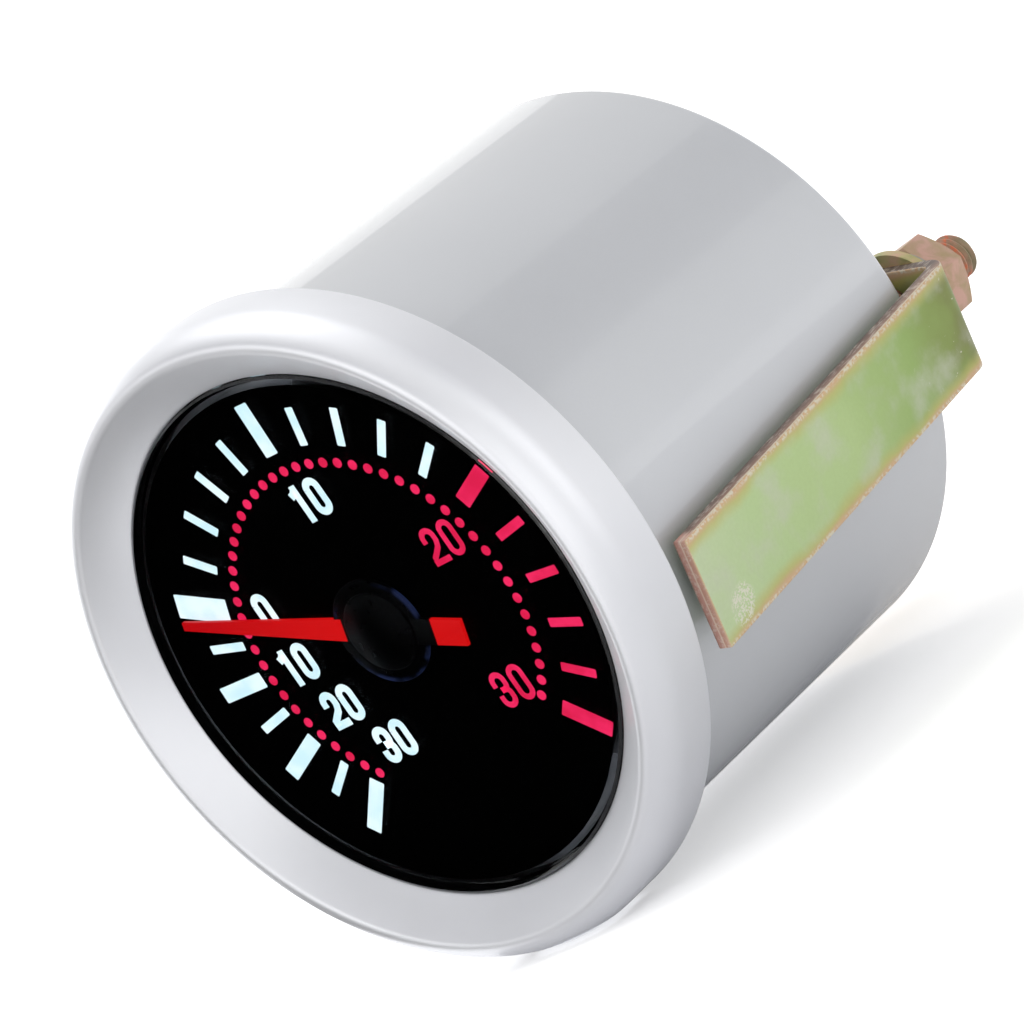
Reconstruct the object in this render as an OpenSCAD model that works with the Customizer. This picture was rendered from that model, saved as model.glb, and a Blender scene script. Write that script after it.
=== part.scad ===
// Dash pressure gauge for boost and vacuum, 52 mm case, mechanical Bourdon movement.
// Millimetres. The axis of the gauge is Y: the dial faces -Y and the back faces +Y.
// X runs to the right of someone reading the dial, Z is up at 12 o'clock.
// The origin is on the axis, in the plane where the bezel seats on a panel.
// Angles called "clock" are degrees clockwise from 12 as read on the dial.

/* [Case] */
// Outside diameter of the case barrel
case_d = 52; // [50:0.5:54]
// From the panel seat to the outside of the case back
case_len = 39.6; // [37:0.1:46]
// Wall of the case barrel
case_wall = 1.2; // [0.8:0.1:1.4]
// Thickness of the case back
case_back_t = 1.5; // [1:0.1:2]
// Radius of the rear edge of the case
case_edge_r = 0.6; // [0.2:0.1:1]
// How far the lip at the case mouth stands out of its neck
case_lip_w = 0.8; // [0.5:0.1:1]
// Thickness of that lip
case_lip_t = 0.8; // [0.5:0.1:1]
// How much the neck inside the bezel is smaller than the barrel, on the radius
case_neck_step = 0.35; // [0.3:0.05:0.45]

/* [Bezel and lens] */
// How far the bezel stands out past the case barrel
bezel_overhang = 2.3; // [2:0.1:4]
// How far the edge of the opening round the dial lies inside the outside of the barrel
opening_inset = 3.05; // [2.9:0.05:4]
// From the panel seat forward to the edge of the opening
opening_rise = 4.15; // [3.9:0.05:5]
// Slope of the inner face, from the plane of the dial
bezel_slope = 41.5; // [35:0.5:45]
// Radius of the rolled outer face
bezel_roll_r = 3.8; // [3.4:0.1:4.2]
// Radius of the crest between the inner face and the roll
bezel_crest_r = 0.9; // [0.6:0.1:1.1]
// Thickness of the lip round the opening
bezel_lip_t = 0.4; // [0.3:0.05:0.6]
// Collar of the bezel that hooks behind the case lip
bezel_collar_t = 0.9; // [0.6:0.1:1.2]
// Chamfer of the rear edge of the bezel
bezel_chamfer = 0.35; // [0.2:0.05:0.5]
// Thickness of the lens
lens_t = 1; // [0.8:0.1:1.2]
// How far the lens stands in front of the opening's edge
lens_proud = 0.2; // [0.1:0.05:0.3]

/* [Dial stack] */
// Spacer between the lens and the dial
shadow_ring_t = 0.85; // [0.7:0.05:1.2]
// Dial plate
dial_t = 0.5; // [0.3:0.1:0.8]
// Clear light guide behind the dial
guide_t = 1.8; // [1.2:0.1:2.4]
// Skirt of the light guide, which keeps it off the lamps
guide_skirt = 1; // [0.95:0.05:1.4]
// Lamp board
board_t = 1; // [0.8:0.1:1.6]
// Number of lamps on the board
lamp_count = 12; // [6:1:18]
// Radius of the ring of lamps, as a share of the board's
lamp_ring_share = 0.769; // [0.69:0.005:0.81]

/* [Pointer] */
// Gap between the tip of the pointer and the edge of the opening
pointer_tip_gap = 2.45; // [1.5:0.05:5]
// From the axis to the end of the tail
pointer_tail = 8.3; // [7:0.1:10]
// Width of the blade at the hub
pointer_w = 2.3; // [1.8:0.1:3]
// Width of the tip
pointer_tip_w = 0.75; // [0.5:0.05:1]
// Thickness of the blade
pointer_t = 0.35; // [0.25:0.05:0.4]
// Clock angle of the pointer at rest
pointer_rest = -68.5; // [-135:0.5:135]
// Diameter of the hub cap's dome
cap_d = 6.8; // [5:0.1:8]
// How far the cap's skirt stands out past the dome, beside the blade
cap_skirt_w = 1.1; // [0.5:0.1:2]
// Gap between the hub cap and the lens
cap_gap = 0.15; // [0.12:0.01:0.4]

/* [Movement] */
// Thickness of both movement plates
plate_t = 1; // [0.8:0.1:1.4]
// How much smaller than the tube's centre line the front plate is, on the radius
front_plate_in = 1.5; // [0.5:0.1:2]
// How much smaller than the tube's centre line the rear plate is, on the radius
rear_plate_in = 4.5; // [3.9:0.1:4.7]
// Length of the posts from the front plate to the lamp board
post_len = 2.8; // [2.2:0.1:4]
// Space between the movement plates
pillar_len = 8; // [7.6:0.1:9]
// Module of the gear teeth, as a share of the radius of the tube's centre line
gear_module_share = 0.01081; // [0.0106:0.00005:0.0111]
// Radius of the pointer's staff
staff_r = 0.6; // [0.5:0.05:0.65]
// Thickness of the sector plate
sector_t = 1.2; // [1:0.1:1.4]
// From the sector's arbor to the pin of the link, as a share of the way from the axis to the arbor
tail_arm_share = 0.5556; // [0.51:0.01:0.58]
// Clock angle of that pin from the arbor at rest
tail_clock = 98.5; // [94:0.5:102]

/* [Bourdon tube] */
// Radius of the tube's centre line, as a share of the inside of the case
tube_share = 0.746; // [0.735:0.001:0.785]
// Width of the flattened tube, along the radius
tube_w = 2.4; // [2:0.1:2.8]
// Height of the flattened tube, along the gauge's axis
tube_h = 6.4; // [5:0.1:6.6]
// Wall of the tube
tube_wall = 0.3; // [0.2:0.05:0.4]
// Clock angle where the tube leaves its socket
tube_start_clock = 203; // [202:0.5:206]
// Sweep of the tube
tube_sweep = 217; // [212:1:220]

/* [Pressure port] */
// Distance of the port from the axis, as a share of the radius of the tube's centre line
port_share = 0.7297; // [0.725:0.001:0.756]
// Clock angle of the port
port_clock = 194.4; // [192:0.2:197]
// Outside diameter of the port's thread
port_d = 9.7; // [9:0.1:10.4]
// Length of the port behind the case back
port_len = 13; // [11:0.1:16]
// Pitch of the port's thread
port_pitch = 0.94; // [0.8:0.01:1.1]
// Diameter of the inlet
inlet_d = 3; // [2:0.1:4]
// Width across the flats of the port's nut
port_nut_af = 14; // [13:0.5:14]
// Gap between the port's nut and the plane of the strap's bridge
port_nut_gap = 0.35; // [0.2:0.05:0.8]

/* [Clamp] */
// Width of the strap
strap_w = 9.2; // [8:0.1:9.4]
// Thickness of the strap
strap_t = 1.3; // [1:0.05:1.5]
// Outer radius of its bends
strap_bend_r = 2.3; // [2:0.1:3]
// Gap between the case barrel and the inner face of a leg
strap_leg_gap = 1; // [0.8:0.05:1.5]
// Gap between the case back and the bridge
strap_back_gap = 2.95; // [2.9:0.05:5]
// From the panel seat to the ends of the legs
strap_foot_gap = 2.2; // [2.1:0.1:6]
// How far each foot is set clockwise of the bridge
strap_foot_shift = 2.8; // [0:0.1:4]
// Clock angle of one leg
strap_clock = 104.4; // [103:0.1:106]
// Clock angle of the stud on that side
stud_clock = 101.4; // [100:0.1:104]
// Diameter of the studs
stud_d = 4; // [3.8:0.1:4]
// Pitch of their thread
stud_pitch = 0.7; // [0.6:0.05:0.8]
// Length of the studs behind the case back
stud_out = 13.55; // [12.8:0.05:18]
// Width across the flats of the nuts
nut_af = 7; // [6.6:0.1:7.4]
// Thickness of the nuts
nut_t = 3.2; // [2.8:0.1:3.4]
// Diameter of the flat washers
washer_d = 9; // [8.4:0.1:9.4]
// Thickness of the flat washers
washer_t = 0.85; // [0.6:0.05:1]
// Thickness of the spring washers
spring_washer_t = 1.1; // [0.8:0.05:1.2]

/* [Hidden] */

// Facets of a circle, and points along an arc in an outline
$fn = 64;
arc_steps = 6;
// How far a cut runs past the face that it opens
over = 0.5;
// Gap of a piece dropped into its seat, of a shaft in its bearing, and of a bolt in its hole
seat_gap = 0.1;
bearing_gap = 0.03;
bolt_gap = 0.25;

// Case and bezel
case_r = case_d / 2;
case_in_r = case_r - case_wall;
neck_r = case_r - case_neck_step;
case_lip_r = neck_r + case_lip_w;
case_mouth_y = -(bezel_collar_t + case_lip_t);
case_inside_y = case_len - case_back_t;
bezel_r = case_r + bezel_overhang;
opening_r = case_r - opening_inset;
opening_y = -opening_rise;
bezel_gap = 0.05;
bezel_groove_r = case_lip_r + bezel_gap;

// The crest arc touches the sloped inner face and the rolled outer face. Its centre is found by
// going along the slope, from where it would lie over the opening's edge, until it touches the roll.
roll_drop_share = 0.074;
roll_centre = [bezel_r - bezel_roll_r, opening_y + bezel_roll_r * roll_drop_share];
slope_run = [cos(bezel_slope), -sin(bezel_slope)];
slope_in = [sin(bezel_slope), cos(bezel_slope)];
crest_base = [opening_r, opening_y] + bezel_crest_r * slope_in - roll_centre;
crest_half = crest_base * slope_run;
crest_reach = bezel_roll_r - bezel_crest_r;
crest_square = crest_half * crest_half - crest_base * crest_base + crest_reach * crest_reach;
crest_go = -crest_half + sqrt(crest_square);
crest_centre = roll_centre + crest_base + crest_go * slope_run;
crest_end = atan2(crest_centre[1] - roll_centre[1], crest_centre[0] - roll_centre[0]);

// Lens and the stack behind it
lens_seat_y = opening_y + bezel_lip_t;
lens_front_y = opening_y - lens_proud;
lens_back_y = lens_front_y + lens_t;
lens_rim_y = lens_seat_y + lens_t;
lens_top_r = opening_r - seat_gap;
lens_rim_r = bezel_groove_r - seat_gap;
lens_edge = lens_proud;
lens_step_w = 0.5;
stack_r = case_in_r - seat_gap;
dial_y = lens_rim_y + shadow_ring_t;
guide_y = dial_y + dial_t;
skirt_y = guide_y + guide_t;
board_y = skirt_y + guide_skirt;
post_y = board_y + board_t;
skirt_w = 1;
lamp_ring_r = lamp_ring_share * stack_r;
lamp_w = 2;
lamp_deep = 1.25;
lamp_h = 0.75;

// Pointer, between the lens and the dial
pointer_len = opening_r - pointer_tip_gap;
pointer_gap = 0.25;
pointer_y = dial_y - pointer_gap - pointer_t;
cap_y = lens_back_y + cap_gap;
cap_h = pointer_y - cap_y;
cap_rim_h = 0.12;
cap_skirt_t = 0.3;
cap_skirt_r = cap_d / 2 + cap_skirt_w;
cap_dome_r = ((cap_h - cap_rim_h) * (cap_h - cap_rim_h) + cap_d * cap_d / 4) / (2 * (cap_h - cap_rim_h));
boss_wall = 0.9;
boss_past = 0.4;
boss_gap = 0.3;
boss_r = staff_r + boss_wall;
boss_len = dial_t + pointer_gap + boss_past;
boss_hole_r = boss_r + boss_gap;

// Movement plates, and what stands between them
tube_r = tube_share * case_in_r;
front_plate_r = tube_r - front_plate_in;
rear_plate_r = tube_r - rear_plate_in;
front_plate_y = post_y + post_len;
between_y = front_plate_y + plate_t;
rear_plate_y = between_y + pillar_len;
rear_plate_shift_share = 0.1429;
rear_plate_x = rear_plate_shift_share * rear_plate_r;
post_r = 1.5;
post_place_share = 0.8235;
post_place_r = post_place_share * front_plate_r;
post_clocks = [0, 120, 240];
pillar_r = 1.3;
pillar_place_shares = [[-0.5714, 0], [0.5, 0.7857], [0.5, -0.7857]];
pillar_places = rear_plate_r * pillar_place_shares;
screw_r = 0.6;
screw_head_r = 1.25;
screw_head_h = 0.8;
screw_in = 2;
slot_w = 0.3;
slot_deep = 0.35;

// Gear pair: the pinion is on the gauge's axis, the sector's arbor to its right
pressure_angle = 20;
gear_module = gear_module_share * tube_r;
pinion_teeth = 12;
sector_teeth = 96;
pinion_pitch_r = gear_module * pinion_teeth / 2;
sector_pitch_r = gear_module * sector_teeth / 2;
arbor_x = pinion_pitch_r + sector_pitch_r;
backlash = 0.06;
pinion_addendum = 0.85 * gear_module;
sector_addendum = 0.6 * gear_module;
dedendum = 1.25 * gear_module;
first_tooth = -5;
last_tooth = 9;
tooth_pitch = 360 / sector_teeth;
gear_in = 3.8;
gear_mid_y = between_y + gear_in;
pinion_h = 1.6;
arbor_r = 1;
pivot_r = 0.5;
arbor_shake = 0.15;
sector_hub_r = 2;
tail_arm = tail_arm_share * arbor_x;
tail_pin_r = 0.5;
tail_end_r = 1.1;
arm_step = 0.3;
arm_half_w = tail_end_r - arm_step;

// Hairspring
collet_r = 1.3;
collet_h = 0.9;
collet_in = 0.7;
collet_y = between_y + collet_in;
spring_turns = 4;
spring_gap = 0.08;
spring_step_share = 0.046;
spring_step = spring_step_share * tube_r;
spring_t = 0.14;
spring_h = 0.5;
spring_steps = 24;
spring_y = collet_y + (collet_h - spring_h) / 2;
spring_in_r = collet_r + spring_gap + spring_t / 2;
spring_out_r = spring_in_r + spring_turns * spring_step;
stud_post_r = 0.5;

// Bourdon tube, its tip and the link
tip_wall = 0.6;
tip_plate_gap = 0.6;
tube_y = between_y + tip_plate_gap + tip_wall + tube_h / 2;
tip_sweep = 6;
tip_pin_sweep = 5;
tip_pin_in = 0.9;
tip_pin_r = 0.5;
tip_pin_clock = tube_start_clock + tube_sweep + tip_sweep + tip_pin_sweep;
tip_pin_out = tube_r - tip_pin_in;
tip_pin_x = tip_pin_out * sin(tip_pin_clock);
tip_pin_z = tip_pin_out * cos(tip_pin_clock);
tail_pin_x = arbor_x + tail_arm * sin(tail_clock);
tail_pin_z = tail_arm * cos(tail_clock);
link_t = 0.8;
link_w = 2;
link_step = 0.2;
link_bar_half_w = link_w / 2 - link_step;
link_gap = 0.4;
link_y = gear_mid_y - sector_t / 2 - link_gap - link_t;
link_run = [tip_pin_x - tail_pin_x, tip_pin_z - tail_pin_z];
link_len = norm(link_run);
link_tilt = atan2(link_run[0], link_run[1]);
link_end_gap = 0.24;
ear_t = 1;
ear_root_share = 0.7;
ear_half_w = tip_pin_r + tip_wall / 2;
ear_y = link_y + link_t + link_gap / 2;
pin_past = 0.3;

// Pressure port
port_out = port_share * tube_r;
port_nut_t = strap_back_gap - port_nut_gap;
port_r = port_d / 2;
port_end_y = case_len + port_len;
port_hole_r = port_r + bezel_gap;
port_shank_step = 0.3;
port_shank_r = port_r - port_shank_step;
flange_r = 6.8;
flange_t = 1.8;
gasket_t = 0.8;
flange_y = case_inside_y - gasket_t - flange_t;
stem_r = 4;
block_len = 8.3;
block_half_w = 4.4;
block_in = 4.2;
block_out = 2.6;
socket_sweep = 10;
inlet_deep = 32;
duct_r = 0.5;
thread_depth_share = 0.55;
thread_shares = [0.05, 0.24, 0.78, 0.97];
movement_screw_r = 0.8;
movement_screw_head_r = 1.5;
movement_screw_half = 2.8;

// Cable grommet, opposite the port
grommet_out = port_out;
grommet_clock = port_clock + 180;
grommet_r = 3.5;
grommet_flange_r = 5;
grommet_flange_t = 1.5;
grommet_hole_r = 1.6;

// Clamp
leg_x = case_r + strap_leg_gap;
bridge_y = case_len + strap_back_gap;
washer_y = bridge_y + strap_t;
spring_washer_y = washer_y + washer_t;
nut_y = spring_washer_y + spring_washer_t;
stud_r = stud_d / 2;
stud_head_w = 1.1;
stud_head_r = stud_r + stud_head_w;
stud_head_t = 1.2;
stud_out_r = case_in_r - stud_head_r - seat_gap;
stud_end_y = case_len + stud_out;
stud_clocks = [stud_clock, stud_clock + 180];
bolt_hole_r = stud_r + bolt_gap;
spring_washer_w = 1.75;
spring_washer_r = stud_r + spring_washer_w;
spring_washer_cut = 0.5;
nut_chamfer_share = 0.12;
nut_clocks = [12, 41];

// Points of an arc, from one angle to another
function arc(centre, r, from, to) =
  [for (i = [0:arc_steps]) centre + r * [cos(from + (to - from) * i / arc_steps),
                                         sin(from + (to - from) * i / arc_steps)]];

// Degrees that an involute has turned at radius r
function involute(base_r, r) =
  let (t = sqrt(max(r * r / (base_r * base_r) - 1, 0))) t * 180 / PI - atan(t);

// Half the angle of a tooth at radius r
function tooth_half(pitch_r, r) =
  let (base_r = pitch_r * cos(pressure_angle),
       at_pitch = (PI * gear_module / 2 - backlash) / 2 / pitch_r * 180 / PI)
  at_pitch + involute(base_r, pitch_r) - involute(base_r, max(r, base_r));

// Outline of one tooth that stands at a clock angle
function tooth(pitch_r, addendum, clock) =
  let (root_r = pitch_r - dedendum,
       base_r = pitch_r * cos(pressure_angle),
       top_r = pitch_r + addendum,
       radii = concat([root_r], base_r > root_r ? [base_r] : [],
                      [(max(root_r, base_r) + pitch_r) / 2, pitch_r, (pitch_r + top_r) / 2, top_r]))
  concat([for (r = radii) r * clock_run(clock - tooth_half(pitch_r, r))],
         [for (i = [len(radii) - 1:-1:0]) radii[i] * clock_run(clock + tooth_half(pitch_r, radii[i]))]);

// Direction of a clock angle in the plane of the dial
function clock_run(clock) = [sin(clock), cos(clock)];

// Outline of a thread in rings: crests at r, the last ring ends at to, and none starts before from
function thread(r, pitch, from, to) =
  let (rings = floor((to - from) / pitch), deep = pitch * thread_depth_share)
  [for (i = [0:rings - 1], k = [0:3])
    [r - (k == 0 || k == 3 ? deep : 0), to + (i - rings + thread_shares[k]) * pitch]];

// Turns an outline of [radius, place along the axis] about the gauge's axis
module turned(outline) {
  rotate([-90, 0, 0]) rotate_extrude() polygon(outline);
}

// Part of a turn, from one clock angle on
module turned_part(clock, sweep) {
  rotate([-90, 0, 0]) rotate([0, 0, clock - 90]) rotate_extrude(angle = sweep) children();
}

// A rod along the axis
module rod(y, length, r) {
  translate([0, y, 0]) rotate([-90, 0, 0]) cylinder(h = length, r = r);
}

// A flat piece whose outline is drawn as it is read on the dial
module flat_piece(y, thickness) {
  translate([0, y + thickness, 0]) rotate([90, 0, 0]) linear_extrude(thickness) children();
}

// Puts a piece at a clock angle and a distance from the axis
module at(clock, out) {
  rotate([0, clock, 0]) translate([0, 0, out]) children();
}

// A tube or a washer along the axis
module ring(y, length, out_r, in_r) {
  turned([[in_r, y], [out_r, y], [out_r, y + length], [in_r, y + length]]);
}

// A slotted screw along the axis: the head's seat is at y, and the shank runs to +Y
module small_screw(y, r, head_r) {
  difference() {
    union() {
      rod(y - screw_head_h, screw_head_h, head_r);
      rod(y, screw_in, r);
    }
    translate([-head_r - over, y - screw_head_h - over, -slot_w / 2])
      cube([2 * (head_r + over), slot_deep + over, slot_w]);
  }
}

// Holes for such screws
module screw_holes(places, y, length, r) {
  for (p = places) translate([p[0], 0, p[1]]) rod(y, length, r);
}

post_places = [for (c = post_clocks) post_place_r * clock_run(c)];
movement_screw_places = [for (s = [-1, 1])
  port_out * clock_run(port_clock) + s * movement_screw_half * clock_run(port_clock + 90)];

module bezel_ring() {
  color("silver") turned(concat(
    [[opening_r, opening_y]],
    arc(crest_centre, bezel_crest_r, -90 - bezel_slope, crest_end),
    arc(roll_centre, bezel_roll_r, crest_end, 0),
    [[bezel_r, -bezel_chamfer], [bezel_r - bezel_chamfer, 0], [case_r + bezel_gap, 0],
     [neck_r + bezel_gap, -case_neck_step], [neck_r + bezel_gap, -bezel_collar_t],
     [bezel_groove_r, -bezel_collar_t],
     [bezel_groove_r, lens_seat_y], [opening_r, lens_seat_y]]));
}

module lens() {
  color([0.2, 0.22, 0.25, 0.4]) turned([
    [0, lens_front_y], [lens_top_r - lens_edge, lens_front_y], [lens_top_r, lens_front_y + lens_edge],
    [lens_top_r, lens_seat_y], [lens_rim_r, lens_seat_y], [lens_rim_r, lens_rim_y],
    [lens_top_r - lens_step_w, lens_rim_y], [lens_top_r - 2 * lens_step_w, lens_back_y],
    [0, lens_back_y]]);
}

module lens_gasket() {
  color("black") ring(lens_rim_y, case_mouth_y - lens_rim_y, case_lip_r, stack_r + seat_gap);
}

module shadow_ring() {
  color("black") ring(lens_rim_y, shadow_ring_t, stack_r, opening_r);
}

module dial_plate() {
  color([0.05, 0.05, 0.06]) ring(dial_y, dial_t, stack_r, boss_hole_r);
}

module light_guide() {
  color([0.85, 0.92, 0.95, 0.6]) turned([
    [boss_hole_r, guide_y], [stack_r, guide_y], [stack_r, board_y], [stack_r - skirt_w, board_y],
    [stack_r - skirt_w, skirt_y], [boss_hole_r, skirt_y]]);
}

module lamp_board() {
  color("darkgreen") difference() {
    ring(board_y, board_t, stack_r, boss_hole_r);
    screw_holes(post_places, board_y - over, board_t + 2 * over, screw_r + bearing_gap);
  }
}

module lamps() {
  color("white") for (i = [0:lamp_count - 1]) at((i + 0.5) * 360 / lamp_count, lamp_ring_r)
    translate([-lamp_w / 2, board_y - lamp_h, -lamp_deep / 2]) cube([lamp_w, lamp_h, lamp_deep]);
}

module board_screws() {
  color("gold") for (p = post_places)
    translate([p[0], 0, p[1]]) small_screw(board_y, screw_r, screw_head_r);
}

module board_posts() {
  color("goldenrod") difference() {
    for (p = post_places) translate([p[0], 0, p[1]]) rod(post_y, post_len, post_r);
    screw_holes(post_places, board_y, screw_in, screw_r);
  }
}

module pointer() {
  color("red") difference() {
    union() {
      flat_piece(pointer_y, pointer_t) rotate(-pointer_rest) polygon([
        [-pointer_tip_w / 2, pointer_len], [pointer_tip_w / 2, pointer_len], [pointer_w / 2, 0],
        [pointer_w / 2, -pointer_tail], [-pointer_w / 2, -pointer_tail], [-pointer_w / 2, 0]]);
      rod(pointer_y, pointer_t + boss_len, boss_r);
    }
    rod(pointer_y - over, pointer_t + boss_len + 2 * over, staff_r);
  }
}

// The skirt fills the disc on both sides of the blade, level with its front
module pointer_cap() {
  dome_deep = cap_h - cap_rim_h;
  dome_half = asin(cap_d / 2 / cap_dome_r);
  slot_half_w = pointer_w / 2 + seat_gap;
  color([0.04, 0.04, 0.05]) union() {
    difference() {
      turned(concat(
        arc([0, cap_y + cap_dome_r], cap_dome_r, -90, -90 + dome_half),
        [[cap_d / 2, pointer_y], [0, pointer_y]]));
      rod(pointer_y - dome_deep / 2, cap_h, staff_r);
    }
    flat_piece(pointer_y, cap_skirt_t) difference() {
      circle(r = cap_skirt_r);
      circle(r = boss_r + seat_gap);
      rotate(-pointer_rest) translate([-slot_half_w, -cap_skirt_r - over])
        square([2 * slot_half_w, 2 * (cap_skirt_r + over)]);
    }
  }
}

module pinion_staff() {
  color("gold") union() {
    rod(pointer_y - (cap_h - cap_rim_h) / 2, rear_plate_y + plate_t - pointer_y + (cap_h - cap_rim_h) / 2,
        staff_r);
    rod(collet_y, collet_h, collet_r);
    flat_piece(gear_mid_y - pinion_h / 2, pinion_h) union() {
      circle(r = pinion_pitch_r - dedendum);
      for (i = [0:pinion_teeth - 1]) polygon(concat([[0, 0]],
        tooth(pinion_pitch_r, pinion_addendum, 90 + (i + 0.5) * 360 / pinion_teeth)));
    }
  }
}

// The spiral's outline goes out along one side and back along the other
module hairspring() {
  steps = spring_turns * spring_steps;
  color("silver") flat_piece(spring_y, spring_h) polygon(concat(
    [for (i = [0:steps])
      (spring_in_r + spring_step * i / spring_steps - spring_t / 2) * clock_run(360 * i / spring_steps)],
    [for (i = [steps:-1:0])
      (spring_in_r + spring_step * i / spring_steps + spring_t / 2) * clock_run(360 * i / spring_steps)]));
}

// The stud's face meets the end of the spring
module hairspring_stud() {
  color("gold") translate([stud_post_r, 0, spring_out_r])
    rod(between_y, collet_y + collet_h - between_y, stud_post_r);
}

module sector_gear() {
  color("gold") translate([arbor_x, 0, 0]) difference() {
    union() {
      flat_piece(gear_mid_y - sector_t / 2, sector_t) union() {
        polygon(concat([[0, 0]], [for (k = [first_tooth:last_tooth])
          each tooth(sector_pitch_r, sector_addendum, 270 + k * tooth_pitch)]));
        circle(r = sector_hub_r);
        rotate(-tail_clock) translate([-arm_half_w, 0]) square([2 * arm_half_w, tail_arm]);
        translate(tail_arm * clock_run(tail_clock)) circle(r = tail_end_r);
      }
      translate([tail_pin_x - arbor_x, 0, tail_pin_z])
        rod(link_y - pin_past, gear_mid_y - link_y + pin_past, tail_pin_r);
    }
    rod(gear_mid_y - sector_t, 2 * sector_t, arbor_r);
  }
}

module sector_arbor() {
  color("silver") translate([arbor_x, 0, 0]) union() {
    rod(front_plate_y, pillar_len + 2 * plate_t, pivot_r);
    rod(between_y + arbor_shake, pillar_len - 2 * arbor_shake, arbor_r);
  }
}

module drive_link() {
  color("gold") translate([tail_pin_x, 0, tail_pin_z]) flat_piece(link_y, link_t)
    rotate(-link_tilt) difference() {
      union() {
        circle(r = link_w / 2);
        translate([-link_bar_half_w, 0]) square([2 * link_bar_half_w, link_len]);
        translate([0, link_len]) circle(r = link_w / 2 + link_end_gap);
      }
      circle(r = tail_pin_r + bearing_gap);
      translate([0, link_len]) circle(r = tip_pin_r + link_end_gap);
    }
}

// Flattened tube section, upright in the plane that is turned
module oval(w, h) {
  translate([-w / 2, -(h - w) / 2]) square([w, h - w]);
  for (s = [-1, 1]) translate([0, s * (h - w) / 2]) circle(r = w / 2);
}

module tube_tip() {
  tip_clock = tube_start_clock + tube_sweep;
  ear_root = tube_r * clock_run(tip_clock + tip_sweep * ear_root_share);
  ear_run = [tip_pin_x, tip_pin_z] - ear_root;
  color("peru") union() {
    turned_part(tip_clock, tip_sweep) translate([tube_r, tube_y])
      square([tube_w + 2 * tip_wall, tube_h + 2 * tip_wall], center = true);
    flat_piece(ear_y, ear_t) union() {
      translate(ear_root) rotate(-atan2(ear_run[0], ear_run[1]))
        translate([-ear_half_w, 0]) square([2 * ear_half_w, norm(ear_run)]);
      translate([tip_pin_x, tip_pin_z]) circle(r = tip_pin_r + tip_wall);
    }
    translate([tip_pin_x, 0, tip_pin_z]) rod(link_y - pin_past, ear_y + ear_t - link_y + pin_past, tip_pin_r);
  }
}

module bourdon_tube() {
  color("peru") turned_part(tube_start_clock, tube_sweep) translate([tube_r, tube_y]) difference() {
    oval(tube_w, tube_h);
    oval(tube_w - 2 * tube_wall, tube_h - 2 * tube_wall);
  }
}

module pressure_port() {
  block_y = between_y;
  color("gold") difference() {
    union() {
      at(port_clock, port_out) {
        turned(concat(
          [[0, flange_y], [flange_r, flange_y], [flange_r, flange_y + flange_t],
           [port_shank_r, flange_y + flange_t], [port_shank_r, case_len + port_nut_t]],
          thread(port_r, port_pitch, case_len + port_nut_t, port_end_y),
          [[0, port_end_y]]));
        rod(block_y, flange_y - block_y, stem_r);
        translate([-block_half_w, block_y, -block_in]) cube([2 * block_half_w, block_len, block_in + block_out]);
      }
      turned_part(tube_start_clock - socket_sweep, socket_sweep)
        translate([port_out, tube_y - tube_h / 2 - tip_wall])
          square([tube_r + tube_w / 2 + tip_wall - port_out, tube_h + 2 * tip_wall]);
    }
    at(port_clock, port_out) {
      rod(port_end_y - inlet_deep, inlet_deep + over, inlet_d / 2);
      rod(tube_y, port_end_y - tube_y, duct_r);
      translate([0, tube_y, 0]) cylinder(h = tube_r - port_out, r = duct_r);
    }
    turned_part(port_clock, tube_start_clock + over - port_clock) translate([tube_r, tube_y]) circle(r = duct_r);
    for (p = movement_screw_places) translate([p[0], 0, p[1]])
      rod(block_y - over, screw_in + over, movement_screw_r);
  }
}

module port_gasket() {
  color("saddlebrown") at(port_clock, port_out)
    ring(case_inside_y - gasket_t, gasket_t, flange_r, port_hole_r);
}

module hex_nut(y, thickness, flats, hole_r) {
  corner_r = flats / 2 / cos(30);
  cut = corner_r * nut_chamfer_share;
  difference() {
    intersection() {
      translate([0, y, 0]) rotate([-90, 0, 0]) cylinder(h = thickness, r = corner_r, $fn = 6);
      turned([[0, y], [corner_r - cut, y], [corner_r, y + cut / 2], [corner_r, y + thickness - cut / 2],
              [corner_r - cut, y + thickness], [0, y + thickness]]);
    }
    rod(y - over, thickness + 2 * over, hole_r);
  }
}

module port_nut() {
  color("gold") at(port_clock, port_out) hex_nut(case_len, port_nut_t, port_nut_af, port_shank_r);
}

module front_plate() {
  color("gold") difference() {
    rod(front_plate_y, plate_t, front_plate_r);
    rod(front_plate_y - over, plate_t + 2 * over, staff_r + bearing_gap);
    translate([arbor_x, 0, 0]) rod(front_plate_y - over, plate_t + 2 * over, pivot_r + bearing_gap);
    screw_holes(movement_screw_places, front_plate_y - over, plate_t + 2 * over,
                movement_screw_r + bearing_gap);
  }
}

module rear_plate() {
  color("gold") difference() {
    translate([rear_plate_x, 0, 0]) rod(rear_plate_y, plate_t, rear_plate_r);
    rod(rear_plate_y - over, plate_t + 2 * over, staff_r + bearing_gap);
    translate([arbor_x, 0, 0]) rod(rear_plate_y - over, plate_t + 2 * over, pivot_r + bearing_gap);
    screw_holes(pillar_places, rear_plate_y - over, plate_t + 2 * over, screw_r + bearing_gap);
    at(port_clock, port_out) translate([-block_half_w - seat_gap, rear_plate_y - over, -block_in - seat_gap])
      cube([2 * (block_half_w + seat_gap), plate_t + 2 * over, 2 * block_out]);
  }
}

module plate_pillars() {
  color("goldenrod") difference() {
    for (p = pillar_places) translate([p[0], 0, p[1]]) rod(between_y, pillar_len, pillar_r);
    screw_holes(pillar_places, rear_plate_y - screw_in, screw_in + over, screw_r);
  }
}

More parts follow.
